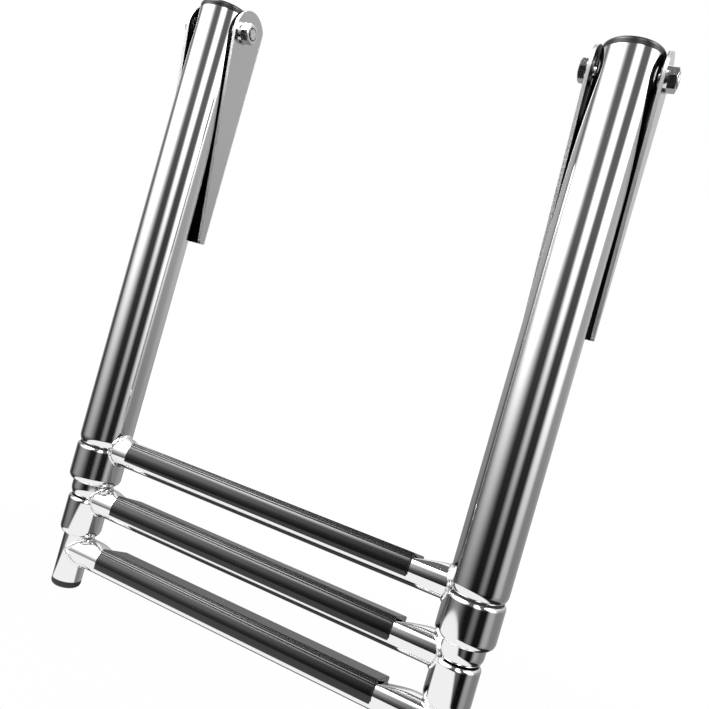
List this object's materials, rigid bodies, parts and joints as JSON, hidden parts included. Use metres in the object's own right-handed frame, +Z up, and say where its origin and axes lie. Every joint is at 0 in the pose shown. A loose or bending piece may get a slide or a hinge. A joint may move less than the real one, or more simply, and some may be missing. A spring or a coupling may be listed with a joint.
{
  "type": "telescopic boat ladder",
  "caption": "Boarding ladder of telescoping stainless tubes with moulded treads, hinged in two channel brackets.",
  "frame": {"origin": "middle of the flat back face of the left bracket", "axes": "+X along the rungs to the right stile, +Z up along the stiles to the pivots, +Y out of the brackets' back faces; the ladder swings out towards -Y"},
  "size_m": [0.3613, 0.0437, 0.4563],
  "materials": {
    "stainless": "polished",
    "tread_plastic": "satin",
    "black_cap": "satin",
    "black_foot": "matte",
    "nylon": "satin"
  },
  "bodies": {
    "brackets": {"bracket_left": "stainless", "pivot_bolt_left": "stainless", "pivot_nut_left": "stainless", "pivot_washers_left": "stainless", "bracket_right": "stainless", "pivot_bolt_right": "stainless", "pivot_nut_right": "stainless", "pivot_washers_right": "stainless"},
    "upper_section": {"outer_tube_left": "stainless", "top_cap_left": "black_cap", "upper_collar_left": "stainless", "upper_guide_bush_left": "nylon", "outer_tube_right": "stainless", "top_cap_right": "black_cap", "upper_collar_right": "stainless", "upper_guide_bush_right": "nylon", "upper_rung": "stainless", "upper_tread": "tread_plastic"},
    "middle_section": {"middle_tube_left": "stainless", "middle_slide_bush_left": "nylon", "middle_collar_left": "stainless", "middle_guide_bush_left": "nylon", "middle_tube_right": "stainless", "middle_slide_bush_right": "nylon", "middle_collar_right": "stainless", "middle_guide_bush_right": "nylon", "middle_rung": "stainless", "middle_tread": "tread_plastic"},
    "lower_section": {"lower_tube_left": "stainless", "lower_slide_bush_left": "nylon", "foot_left": "black_foot", "lower_tube_right": "stainless", "lower_slide_bush_right": "nylon", "foot_right": "black_foot", "lower_rung": "stainless", "lower_tread": "tread_plastic"}
  },
  "joints": [
    {"name": "ladder_swing", "type": "hinge", "parent": "brackets", "child": "upper_section", "pos_m": [0, -0.0245, 0.089], "axis": [-1, 0, 0], "range_deg": [0, 255]},
    {"name": "middle_slide", "type": "slide", "parent": "upper_section", "child": "middle_section", "axis": [0, 0, -1], "range_m": [0, 0.23]},
    {"name": "lower_slide", "type": "slide", "parent": "middle_section", "child": "lower_section", "axis": [0, 0, -1], "range_m": [0, 0.23]}
  ]
}
